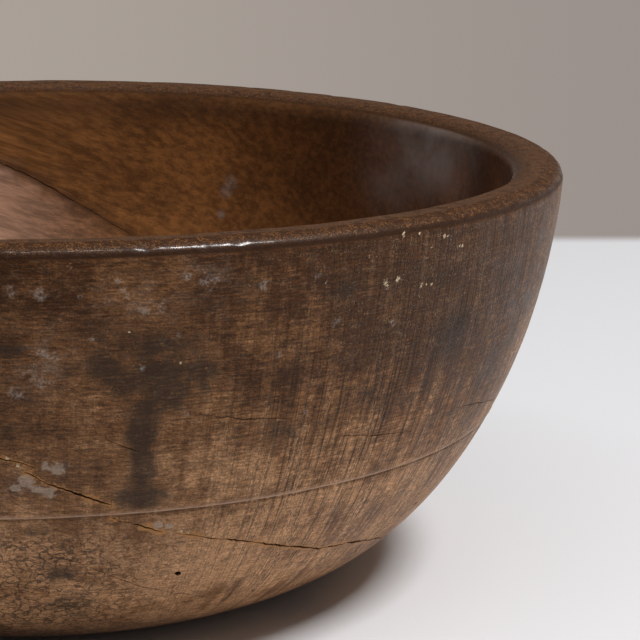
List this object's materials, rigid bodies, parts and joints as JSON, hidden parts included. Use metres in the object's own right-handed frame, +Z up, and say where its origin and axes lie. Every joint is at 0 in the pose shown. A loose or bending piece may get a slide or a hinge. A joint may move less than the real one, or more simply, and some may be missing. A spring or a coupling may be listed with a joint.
{
  "type": "wooden bowl",
  "caption": "Old turned wooden bowl with a soft-edged rim, a scored line round its full belly, a drying crack along the grain and a flat foot.",
  "frame": {"origin": "middle of the flat foot, on the surface that the bowl stands on", "axes": "+Z up along the turning axis, X along the grain, -Y towards the front, where the drying crack is"},
  "size_m": [0.3, 0.3, 0.123],
  "materials": {
    "patinated_wood": "worn dark brown patina, matte on the rim's top, satin on the wall"
  },
  "bodies": {
    "root": {"turned_bowl": "patinated_wood"}
  },
  "joints": []
}
